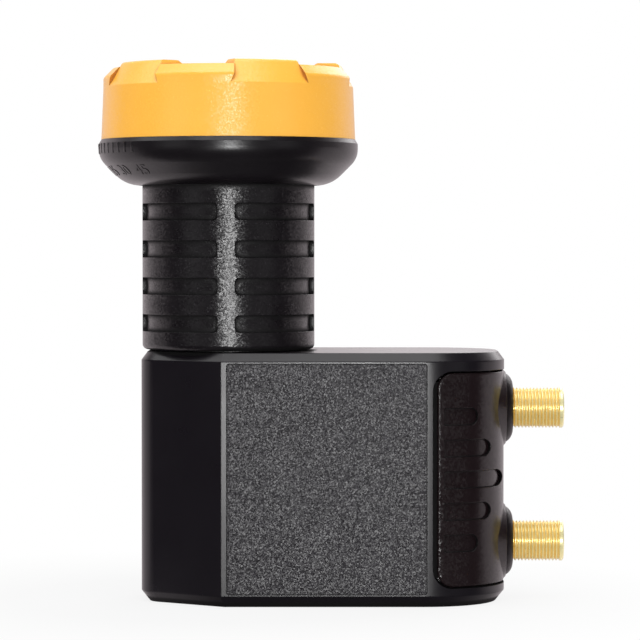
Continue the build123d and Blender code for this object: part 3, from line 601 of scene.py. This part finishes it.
@dataclass(frozen=True)
class Metal(Finish):
    """Plated, cast or rolled metal with rub marks, uneven polish and painted shade in its grooves and gaps.
    """

    dark: Colour = (0.3, 0.3, 0.3)
    # Painted shade: the colour that grooves, gaps and thread roots are darkened to.
    deep: Colour = (0.12, 0.12, 0.12)
    # Reach of the painted shade in grooves and gaps.
    crevice: float = 0.6 * MM
    roughness: tuple[float, float] = (0.2, 0.35)
    metallic: float = 1.0
    tarnish: float = 0.6
    tarnish_range: tuple[float, float] = (0.4, 0.75)
    mark_scale: float = 900.0
    stretch: float = 1.0
    mark_depth: float = 0.01 * MM
    edge_round: float = 0.06 * MM

    def wire(self) -> bpy.types.Material:
        """Wire colour with painted shade in grooves and gaps, roughness and bump from the shared rub marks.

        Returns:
            The material.
        """
        wiring, shader = self.open()
        marks = RUB_MARKS.place(wiring, Scale=self.mark_scale, Stretch=self.stretch)
        tarnish = wiring.spread(marks.outputs["Patches"], 0.0, self.tarnish, *self.tarnish_range)
        face = wiring.mix(tarnish, rgba(self.colour), rgba(self.dark))
        # Painted shade: within the crevice reach the base colour darkens toward the painted shade colour.
        unshaded = CREVICE_SHADE.place(wiring, Reach=self.crevice).outputs["Open"]
        wiring.feed(shader, "Base Color", wiring.mix(unshaded, rgba(self.deep), face))
        rough = wiring.spread(marks.outputs["Marks"], *self.roughness, *NOISE_RANGE)
        wiring.feed(shader, "Roughness", rough)
        shader.inputs["Metallic"].default_value = self.metallic
        edges = wiring.add("Bevel", {"samples": BEVEL_SAMPLES}, Radius=self.edge_round)
        bump = wiring.add(
            "Bump", Distance=self.mark_depth, Height=marks.outputs["Marks"], Normal=edges.outputs["Normal"]
        )
        wiring.feed(shader, "Normal", bump.outputs["Normal"])
        return bpy.data.materials[self.name]


@dataclass(frozen=True)
class BoardLacquer(Finish):
    """Solder lacquer over copper tracks, with bare plated lands."""

    track: Colour = (0.02, 0.3, 0.12)
    land: Colour = (0.8, 0.6, 0.2)
    track_scale: float = 260.0
    track_edge: tuple[float, float] = (0.03, 0.07)
    track_height: float = 0.03 * MM
    land_scale: float = 420.0
    land_edge: tuple[float, float] = (0.16, 0.2)
    roughness: tuple[float, float] = (0.35, 0.25)

    def wire(self) -> bpy.types.Material:
        """Wire tracks from cell borders and lands from cell centres.

        Returns:
            The material.
        """
        wiring, shader = self.open()
        place = wiring.add("TexCoord").outputs["Object"]
        tracks = wiring.add(
            "TexVoronoi", {"feature": "DISTANCE_TO_EDGE", "distance": "EUCLIDEAN"}, Vector=place,
            Scale=self.track_scale,
        )
        track = wiring.spread(tracks.outputs["Distance"], 1.0, 0.0, *self.track_edge)
        lands = wiring.add("TexVoronoi", {"distance": "CHEBYCHEV"}, Vector=place, Scale=self.land_scale)
        land = wiring.spread(lands.outputs["Distance"], 1.0, 0.0, *self.land_edge)
        lacquer = wiring.mix(track, rgba(self.colour), rgba(self.track))
        wiring.feed(shader, "Base Color", wiring.mix(land, lacquer, rgba(self.land)))
        wiring.feed(shader, "Metallic", land)
        wiring.feed(shader, "Roughness", wiring.spread(track, *self.roughness))
        bump = wiring.add("Bump", Distance=self.track_height, Height=track)
        wiring.feed(shader, "Normal", bump.outputs["Normal"])
        return bpy.data.materials[self.name]


POLISHED_BOWL = Zone(
    low=(-1.0, -1.0, NECK_TOP), high=(1.0, 1.0, 1.0), texture=(1.0, 0.2), roughness=0.3, soft=0.5 * MM
)
COVER_FLATS = Zone(
    low=(47.0 * MM, 0.0, 0.0), high=(55.3 * MM, 22.5 * MM, 60.0 * MM), texture=(0.2, 1.0), roughness=0.26,
    soft=0.3 * MM,
)
TEXTURED_PANELS = Zone(
    low=(0.1 * MM, 21.7 * MM, 2.9 * MM), high=(45.6 * MM, 21.9 * MM, 55.4 * MM), texture=(0.03, 1.0),
    roughness=0.34,
)

# The cap darkens to a deep orange in its grooves and gaps: painted shade.
AMBER = Moulding(
    "amber_cap", (0.95, 0.46, 0.045), light=(1.0, 0.56, 0.10), deep=(0.55, 0.20, 0.01),
    roughness=(0.29, 0.33), gloss=0.8, grain_scale=4000.0, grain_depth=0.01 * MM, facets=0.12, flecks=0.05,
    edge_round=0.3 * MM,
)
COLLAR = Moulding(
    "black_collar", (0.006, 0.0045, 0.006), light=(0.03, 0.027, 0.031), roughness=(0.26, 0.3), gloss=0.45,
    grain_scale=3600.0, grain_depth=0.01 * MM, facets=0.14, flecks=0.1, edge_round=0.2 * MM,
    zone=POLISHED_BOWL,
)
SCALE = replace(COLLAR, name="black_scale", edge_round=0.06 * MM, crevice=0.15 * MM)
SHELL = Moulding(
    "sparkle_shell", (0.006, 0.0045, 0.007), light=(0.04, 0.035, 0.046), roughness=(0.27, 0.31), gloss=0.46,
    grain_scale=4100.0, grain_depth=0.015 * MM, facets=0.33, flecks=1.0, mottle=0.02, edge_round=0.2 * MM,
    zone=TEXTURED_PANELS,
)
COVER = Moulding(
    "satin_cover", (0.010, 0.0055, 0.0065), light=(0.024, 0.015, 0.017), roughness=(0.22, 0.28), gloss=0.4,
    grain_scale=2600.0, grain_depth=0.006 * MM, facets=0.26, flecks=0.02, edge_round=0.3 * MM,
    crevice=0.4 * MM, zone=COVER_FLATS,
)
RUBBER = Moulding(
    "black_rubber", (0.006, 0.0035, 0.0045), light=(0.02, 0.016, 0.018), roughness=(0.34, 0.42), gloss=0.25,
    grain_scale=2200.0, grain_depth=0.008 * MM, flecks=0.02, edge_round=0.3 * MM,
)
# The insulator darkens to grey in its bores and gaps: painted shade.
INSULATOR = Moulding(
    "white_insulator", (0.86, 0.85, 0.8), light=(0.92, 0.91, 0.88), deep=(0.4, 0.39, 0.35),
    roughness=(0.4, 0.5), grain_scale=2000.0, grain_depth=0.01 * MM, flecks=0.01, edge_round=0.1 * MM,
)
PACKAGE = Moulding(
    "chip_package", (0.02, 0.02, 0.021), light=(0.06, 0.06, 0.062), roughness=(0.5, 0.62),
    grain_scale=6000.0, grain_depth=0.01 * MM, flecks=0.05, edge_round=0.08 * MM,
)
FERRITE = Moulding(
    "choke_ferrite", (0.12, 0.12, 0.13), light=(0.22, 0.22, 0.23), roughness=(0.55, 0.7), grain_scale=5000.0,
    grain_depth=0.02 * MM, flecks=0.06, edge_round=0.15 * MM,
)
# The gold darkens to orange in the thread roots: painted shade.
GOLD = Metal(
    "plated_gold", (1.0, 0.92, 0.52), dark=(1.0, 0.88, 0.44), deep=(0.92, 0.64, 0.16),
    roughness=(0.26, 0.36), metallic=0.45, mark_scale=2500.0, mark_depth=0.002 * MM, edge_round=0.04 * MM,
)
CAST = Metal(
    "die_cast_alloy", (0.66, 0.67, 0.68), dark=(0.5, 0.5, 0.51), roughness=(0.4, 0.55), mark_scale=1500.0,
    mark_depth=0.02 * MM, edge_round=0.15 * MM,
)
STEEL = Metal(
    "zinc_steel", (0.62, 0.62, 0.63), dark=(0.44, 0.44, 0.45), roughness=(0.25, 0.4), mark_scale=2200.0,
    stretch=0.2, mark_depth=0.006 * MM,
)
CAN = Metal(
    "bright_can", (0.78, 0.78, 0.79), dark=(0.66, 0.66, 0.67), roughness=(0.18, 0.3), mark_scale=3000.0,
    stretch=0.1, mark_depth=0.004 * MM,
)
BOARD = BoardLacquer("board_lacquer", (0.012, 0.14, 0.055))


def dress_nodes(finish: Finish, *nodes: str) -> None:
    """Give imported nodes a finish.

    Args:
        finish: The finish.
        nodes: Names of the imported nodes.
    """
    for name in nodes:
        mesh = frame["nodes"][name].data
        mesh.materials.clear()
        mesh.materials.append(finish.material())
        LOG.info("dressed %s in %s", name, finish.name)


def dress_piece(piece: bpy.types.Object, finish: Finish, body: Body) -> None:
    """Give a new piece its finish and the body it rides on.

    Args:
        piece: The piece.
        finish: Its finish.
        body: The body that carries it.
    """
    piece.data.materials.clear()
    piece.data.materials.append(finish.material())
    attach(piece, body.value)
    LOG.info("built %s in %s", piece.name, finish.name)


@dataclass
class SkewScale:
    """Raised ticks and numerals on the side of the collar that faces away from the connectors."""

    bowl_radius: float = COLLAR_RADIUS
    span: int = 45
    tick_step: int = 5
    tick_level: float = NECK_TOP + 8.4 * MM
    tick_height: float = 2.3 * MM
    tick_width: float = 0.8 * MM
    tick_root: float = 0.5 * MM
    tick_rise: float = 0.15 * MM
    tick_lean: float = 0.15 * MM
    tick_bevel: float = 0.08 * MM
    bevel_segments: int = 2
    numeral_step: int = 15
    numeral_radius: float = COLLAR_RADIUS - 3.15 * MM
    numeral_level: float = NECK_TOP + 3.15 * MM
    numeral_size: float = 4.4 * MM
    numeral_thinning: float = 0.03 * MM
    numeral_rise: float = 0.07 * MM
    numeral_sink: float = 0.15 * MM
    smooth_angle: float = 30.0
    pieces: list[bpy.types.Object] = field(default_factory=list)

    def angles(self, step: int) -> range:
        """Give the angles of the scale's marks from its middle, in degrees."""
        return range(-self.span, self.span + step, step)

    def model_tick(self) -> bpy.types.Object:
        """Model one tick at the scale's middle.

        Returns:
            The tick, standing on the -X side of the bowl.
        """
        depth = self.tick_root + self.tick_rise
        outer = -self.bowl_radius - self.tick_rise
        bpy.ops.mesh.primitive_cube_add(size=1.0, location=(outer + depth / 2, 0.0, self.tick_level))
        tick = bpy.context.object
        tick.scale = (depth, self.tick_width, self.tick_height)
        settle(tick)
        begin_edit(tick)
        low = self.tick_level - self.tick_height / 4
        pick(tick, Element.VERT, lambda v: v.co.x < outer + ON_PLANE and v.co.z < low)
        bpy.ops.transform.translate(value=(self.tick_lean, 0.0, 0.0))
        pick(tick, Element.FACE, lambda f: f.normal.x < -FACING)
        bpy.ops.mesh.bevel(offset=self.tick_bevel, segments=self.bevel_segments, affect="EDGES")
        end_edit()
        return tick

    def model_numeral(self, text: str, angle: float) -> bpy.types.Object:
        """Model one numeral and lay it on the sloping part of the bowl.

        Args:
            text: The digits.
            angle: Degrees from the middle of the scale.

        Returns:
            The numeral as a mesh in its place.
        """
        bpy.ops.object.text_add()
        numeral = bpy.context.object
        numeral.data.body = text
        numeral.data.size = self.numeral_size
        numeral.data.offset = -self.numeral_thinning
        numeral.data.align_x = "CENTER"
        numeral.data.align_y = "CENTER"
        numeral.data.extrude = (self.numeral_rise + self.numeral_sink) / 2
        take(numeral)
        bpy.ops.object.convert(target="MESH")
        numeral = bpy.context.object
        turn = math.pi + math.radians(angle)
        outward = Vector((math.cos(turn), math.sin(turn), 0.0))
        lifted = Vector((0.0, 0.0, 1.0))
        slope = (outward + lifted).normalized()
        facing = (outward - lifted).normalized()
        right = slope.cross(facing)
        spot = outward * self.numeral_radius + lifted * self.numeral_level
        spot += facing * (self.numeral_rise - self.numeral_sink) / 2
        place = Matrix((right, slope, facing)).transposed().to_4x4()
        place.translation = spot
        numeral.data.transform(place)
        return numeral

    def build(self) -> None:
        """Model the ticks and the numerals."""
        tick = self.model_tick()
        turns = [math.radians(angle) for angle in self.angles(self.tick_step)]
        ticks = [copy_of(tick, Matrix.Rotation(turn, 4, "Z")) for turn in turns]
        bpy.data.objects.remove(tick)
        marks = join_all(ticks, "skew_ticks")
        close_up(marks, self.smooth_angle)
        labels = [self.model_numeral(str(abs(angle)), angle) for angle in self.angles(self.numeral_step)]
        numerals = join_all(labels, "skew_numerals")
        close_up(numerals, self.smooth_angle)
        self.pieces = [marks, numerals]

    def dress(self) -> None:
        """Give the scale the collar's finish at its own fineness."""
        for piece in self.pieces:
            dress_piece(piece, SCALE, Body.HOUSING)


@dataclass
class FeedHead:
    """Feed cap, its seal, the collar with its neck, and the horn inside."""

    scale: SkewScale = field(default_factory=SkewScale)

    def build(self) -> None:
        """Model the skew scale on the collar."""
        self.scale.build()

    def dress(self) -> None:
        """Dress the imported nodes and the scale."""
        dress_nodes(AMBER, "feed_cap")
        dress_nodes(COLLAR, "neck_collar")
        dress_nodes(RUBBER, "cap_seal")
        dress_nodes(CAST, "feed_horn")
        self.scale.dress()


@dataclass
class OutputPort:
    """One F connector: a turned and threaded barrel, its insulator, its contact and its rubber collar."""

    position: str
    pitch: float = 0.794 * MM
    thread_depth: float = 0.42 * MM
    thread_radius: float = 4.7 * MM
    thread_length: float = 11.8 * MM
    chamfer: float = 0.3 * MM
    land: float = 0.6 * MM
    run_out: float = 0.05 * MM
    bore: float = 3.2 * MM
    spigot: float = 4.0 * MM
    spigot_length: float = 2.2 * MM
    steps: int = 48
    flank_shift: float = 0.9
    smooth_angle: float = 25.0
    barrel: bpy.types.Object | None = None

    def ring(self, piece: bpy.types.Object, along: float, radius: float) -> None:
        """Extrude the selected ring of edges to a new place along the barrel and a new radius.

        Args:
            piece: The barrel, open in edit mode with one ring of edges selected.
            along: New place of the ring along the barrel's axis.
            radius: New radius of the ring.
        """
        bpy.ops.mesh.extrude_edges_move()
        mesh = bmesh.from_edit_mesh(piece.data)
        for vert in mesh.verts:
            if vert.select:
                spoke = Vector((0.0, vert.co.y, vert.co.z)).normalized() * radius
                vert.co = Vector((along, spoke.y, spoke.z))
        bmesh.update_edit_mesh(piece.data)

    def model_thread(self, start: float, end: float) -> bpy.types.Object:
        """Model the helical thread and trim it square.

        Args:
            start: Where the thread starts along the barrel's axis.
            end: Where it ends.

        Returns:
            The open threaded sleeve, on the X axis.
        """
        root = self.thread_radius - self.thread_depth
        turns = math.ceil((end - start) / self.pitch) + 2
        bpy.ops.mesh.primitive_plane_add(size=self.pitch, location=(0.0, 0.0, 0.0))
        sleeve = bpy.context.object
        begin_edit(sleeve)
        pick(sleeve, Element.VERT, lambda v: v.co.y > 0)
        bpy.ops.mesh.delete(type="VERT")
        bpy.ops.mesh.select_all(action="SELECT")
        bpy.ops.mesh.subdivide(number_cuts=3)
        bpy.ops.mesh.select_all(action="SELECT")
        bpy.ops.transform.translate(value=(start - self.pitch / 2, self.pitch / 2, root))
        # The profile's five points lie 0, 2, 4, 6 and 8 eighths of the pitch from its left end. The second
        # and third become the crest, and then the second and fourth move over to shape the flanks.
        left = start - self.pitch
        eighth = self.pitch / 8
        pick(sleeve, Element.VERT, lambda v: eighth < v.co.x - left < 5 * eighth)
        bpy.ops.transform.translate(value=(0.0, 0.0, self.thread_depth))
        pick(
            sleeve, Element.VERT,
            lambda v: eighth < v.co.x - left < 3 * eighth or 5 * eighth < v.co.x - left < 7 * eighth,
        )
        bpy.ops.transform.translate(value=(self.flank_shift * eighth, 0.0, 0.0))
        end_edit()
        apply_modifier(
            sleeve, "SCREW", axis="X", angle=FULL_TURN, screw_offset=self.pitch, iterations=turns,
            steps=self.steps, render_steps=self.steps, use_merge_vertices=False,
        )
        begin_edit(sleeve)
        bpy.ops.mesh.select_all(action="SELECT")
        bpy.ops.mesh.remove_doubles(threshold=WELD_DISTANCE)
        for place, inner in ((start, True), (end, False)):
            bpy.ops.mesh.select_all(action="SELECT")
            bpy.ops.mesh.bisect(
                plane_co=(place, 0.0, 0.0), plane_no=(1.0, 0.0, 0.0), clear_inner=inner,
                clear_outer=not inner, threshold=TRIM_DISTANCE,
            )
        end_edit()
        return sleeve

    def build(self) -> None:
        """Model the barrel from the thread outward to its tip and inward to its spigot."""
        low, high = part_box(f"f_connector_{self.position}")
        tip, back = high.x, low.x
        axis = (low.z + high.z) / 2
        shank = (high.z - low.z) / 2
        face = tip - self.thread_length
        shoulder = back + self.spigot_length
        neck = tip - self.chamfer
        thread_end = neck - self.land
        barrel = self.model_thread(face, thread_end)
        begin_edit(barrel)
        rim = thread_end - WELD_DISTANCE
        pick(barrel, Element.EDGE, lambda e: e.is_boundary and min(v.co.x for v in e.verts) > rim)
        for along, radius in (
            (thread_end + self.run_out, self.thread_radius),
            (neck, self.thread_radius),
            (tip, self.thread_radius - self.chamfer),
            (tip, self.bore),
            (back, self.bore),
            (back, self.spigot),
            (shoulder, self.spigot),
            (shoulder, shank),
            (face, shank),
        ):
            self.ring(barrel, along, radius)
        pick(barrel, Element.EDGE, lambda e: e.is_boundary)
        bpy.ops.mesh.bridge_edge_loops()
        bpy.ops.mesh.select_all(action="SELECT")
        bpy.ops.transform.translate(value=(0.0, 0.0, axis))
        end_edit()
        close_up(barrel, self.smooth_angle)
        barrel.name = f"f_thread_{self.position}"
        self.barrel = barrel

    def dress(self) -> None:
        """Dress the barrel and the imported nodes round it."""
        dress_piece(self.barrel, GOLD, Body.HOUSING)
        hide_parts(f"f_connector_{self.position}")
        dress_nodes(INSULATOR, f"f_insulator_{self.position}")
        dress_nodes(GOLD, f"f_contact_{self.position}")
        dress_nodes(RUBBER, f"connector_seal_{self.position}")


@dataclass
class Housing:
    """The two shells and the screws that hold them."""

    def build(self) -> None:
        """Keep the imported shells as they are."""

    def dress(self) -> None:
        """Dress the shells and the screws."""
        dress_nodes(SHELL, "front_shell", "rear_shell")
        dress_nodes(STEEL, "shell_screws")


@dataclass
class WeatherCover:
    """The cover that slides over the connectors."""

    def build(self) -> None:
        """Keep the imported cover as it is."""

    def dress(self) -> None:
        """Dress the cover."""
        dress_nodes(COVER, "weather_cover")


@dataclass
class Circuit:
    """The waveguide casting with its probes, board, components and lid."""

    def build(self) -> None:
        """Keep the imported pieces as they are."""

    def dress(self) -> None:
        """Dress every piece of the circuit."""
        dress_nodes(CAST, "chassis", "shield_cover")
        dress_nodes(STEEL, "shield_screws", "isolation_post")
        dress_nodes(BOARD, "rf_board")
        dress_nodes(PACKAGE, "lna_transistors", "converter_chips", "voltage_regulators")
        dress_nodes(CAN, "reference_crystal")
        dress_nodes(FERRITE, "output_chokes")
        dress_nodes(GOLD, "horizontal_probe", "vertical_probe")
        dress_nodes(INSULATOR, "probe_bush_upper", "probe_bush_lower")


@dataclass(frozen=True)
class Lamp:
    """A soft square lamp that looks at a point."""

    name: str
    place: Vector
    target: Vector
    size: float
    power: float

    def build(self) -> None:
        """Hang the lamp."""
        data = bpy.data.lights.new(self.name, "AREA")
        data.shape = "SQUARE"
        data.size = self.size
        data.energy = self.power
        hang(self.name, data, self.place, self.target)


@dataclass
class Studio:
    """White floor and surround, soft lamps and the camera."""

    floor_size: float = 40.0
    floor_colour: Colour = (0.5, 0.5, 0.5)
    shadow_share: float = 0.15
    shadow_reach: tuple[float, float] = (0.05, 0.12)
    fill_light: float = 0.76
    front_light: float = 0.015
    back_light: float = 0.95
    floor_reach: tuple[float, float] = (-0.022, -0.002)
    sky_reach: tuple[float, float] = (0.3, 0.65)
    mirror_tint: Colour = (1.0, 0.9, 0.93)
    camera_place: Vector = field(default_factory=lambda: Vector((0.0213, -0.760, 0.0827)))
    camera_target: Vector = field(default_factory=lambda: Vector((0.0213, 0.0, 0.0648)))
    camera_lens: float = 183.6
    camera_sensor: float = 36.0
    camera_clip: tuple[float, float] = (0.01, 50.0)
    lamps: tuple[Lamp, ...] = (
        Lamp("front_lamp", Vector((0.045, -0.78, 0.045)), Vector((0.01, 0.0, 0.06)), 0.08, 2.2),
        Lamp("left_lamp", Vector((-0.58, -0.55, 0.15)), Vector((0.0, 0.0, 0.07)), 0.4, 0.25),
        Lamp("right_lamp", Vector((0.62, -0.53, 0.15)), Vector((0.0, 0.0, 0.07)), 0.4, 0.18),
        Lamp("upper_left_lamp", Vector((-0.55, 0.0, 0.8)), Vector((-0.01, 0.0, 0.06)), 0.5, 1.5),
        Lamp("top_lamp", Vector((0.0, -0.15, 0.85)), Vector((0.01, 0.0, 0.06)), 0.6, 3.3),
        Lamp("rear_lamp", Vector((0.35, 0.9, 0.7)), Vector((0.01, 0.0, 0.06)), 0.8, 4.0),
    )

    def level(
        self, wiring: Wiring, depth: bpy.types.NodeSocket, reach: tuple[float, float]
    ) -> bpy.types.NodeSocket:
        """Wire how bright the background is: white to the camera, dimmer in a mirror that faces forwards.

        Args:
            wiring: The wiring of the floor or the surround.
            depth: How far back the point or the direction lies.
            reach: Depths between which the mirrored background turns from dim to white.

        Returns:
            The socket of the brightness for camera, transmission and glossy rays, and 0 for the others.
        """
        path = wiring.add("LightPath")
        mirrored = wiring.spread(depth, self.front_light, self.back_light, *reach)
        glossy = wiring.math("MULTIPLY", mirrored, path.outputs["Is Glossy Ray"])
        direct = wiring.math("MAXIMUM", path.outputs["Is Camera Ray"], path.outputs["Is Transmission Ray"])
        return wiring.math("MAXIMUM", glossy, direct)

    def tone(self, wiring: Wiring) -> bpy.types.NodeSocket:
        """Wire the background's colour: white, with the studio's faint tint where it is mirrored.

        Args:
            wiring: The wiring of the floor or the surround.

        Returns:
            The socket of the colour.
        """
        path = wiring.add("LightPath")
        return wiring.mix(path.outputs["Is Glossy Ray"], (1.0, 1.0, 1.0, 1.0), rgba(self.mirror_tint))

    def build_floor(self) -> None:
        """Lay the pale floor, which keeps a faint shadow of the object."""
        bpy.ops.object.select_all(action="DESELECT")
        bpy.ops.mesh.primitive_plane_add(size=self.floor_size, location=(0.0, 0.0, 0.0))
        floor = bpy.context.object
        floor.name = "floor"
        material = bpy.data.materials.new("pale_floor")
        wiring = fresh_wiring(material)
        place = wiring.add("TexCoord").outputs["Object"]
        depth = wiring.add("SeparateXYZ", Vector=place).outputs["Y"]
        level = self.level(wiring, depth, self.floor_reach)
        glow = wiring.add("Emission", Color=self.tone(wiring), Strength=level)
        paint = wiring.add("BsdfDiffuse", Color=rgba(self.floor_colour))
        distance = wiring.add("VectorMath", {"operation": "LENGTH"}, Vector=place).outputs["Value"]
        near = wiring.spread(distance, 1.0 - self.shadow_share, 1.0, *self.shadow_reach)
        lit = wiring.add("LightPath").outputs["Is Diffuse Ray"]
        mixed = wiring.add("MixShader", Fac=wiring.math("MULTIPLY", near, wiring.math("SUBTRACT", 1.0, lit)))
        wiring.tree.links.new(paint.outputs["BSDF"], mixed.inputs[1])
        wiring.tree.links.new(glow.outputs["Emission"], mixed.inputs[2])
        wiring.add("OutputMaterial", Surface=mixed.outputs["Shader"])
        floor.data.materials.append(material)

    def build_surround(self) -> None:
        """Make the surround white behind the object and dim on the camera's side."""
        world = bpy.data.worlds.new("studio")
        bpy.context.scene.world = world
        wiring = fresh_wiring(world)
        place = wiring.add("TexCoord").outputs["Generated"]
        depth = wiring.add("SeparateXYZ", Vector=place).outputs["Y"]
        fill = wiring.math("MULTIPLY", wiring.add("LightPath").outputs["Is Diffuse Ray"], self.fill_light)
        level = wiring.math("MAXIMUM", self.level(wiring, depth, self.sky_reach), fill)
        sky = wiring.add("Background", Color=self.tone(wiring), Strength=level)
        wiring.add("OutputWorld", Surface=sky.outputs["Background"])

    def build_camera(self) -> None:
        """Set the camera at the photograph's viewing angle."""
        data = bpy.data.cameras.new("camera")
        data.lens = self.camera_lens
        data.sensor_width = self.camera_sensor
        data.sensor_fit = "HORIZONTAL"
        data.clip_start, data.clip_end = self.camera_clip
        bpy.context.scene.camera = hang("camera", data, self.camera_place, self.camera_target)

    def build(self) -> None:
        """Build the floor, surround, lamps and camera."""
        self.build_floor()
        self.build_surround()
        for lamp in self.lamps:
            lamp.build()
        self.build_camera()
        bpy.context.scene.view_settings.view_transform = "Standard"


def main() -> None:
    """Build and dress every sub-assembly, then the studio."""
    logging.basicConfig(level=logging.INFO, format="%(name)s: %(message)s")
    for effect in (MOULD_GRAIN, RUB_MARKS, CREVICE_SHADE):
        effect.build()
    ports = (OutputPort("upper"), OutputPort("lower"))
    for assembly in (FeedHead(), Housing(), WeatherCover(), Circuit(), *ports):
        LOG.info("sub-assembly %s", type(assembly).__name__)
        assembly.build()
        assembly.dress()
    Studio().build()


if __name__ == "__main__":
    main()
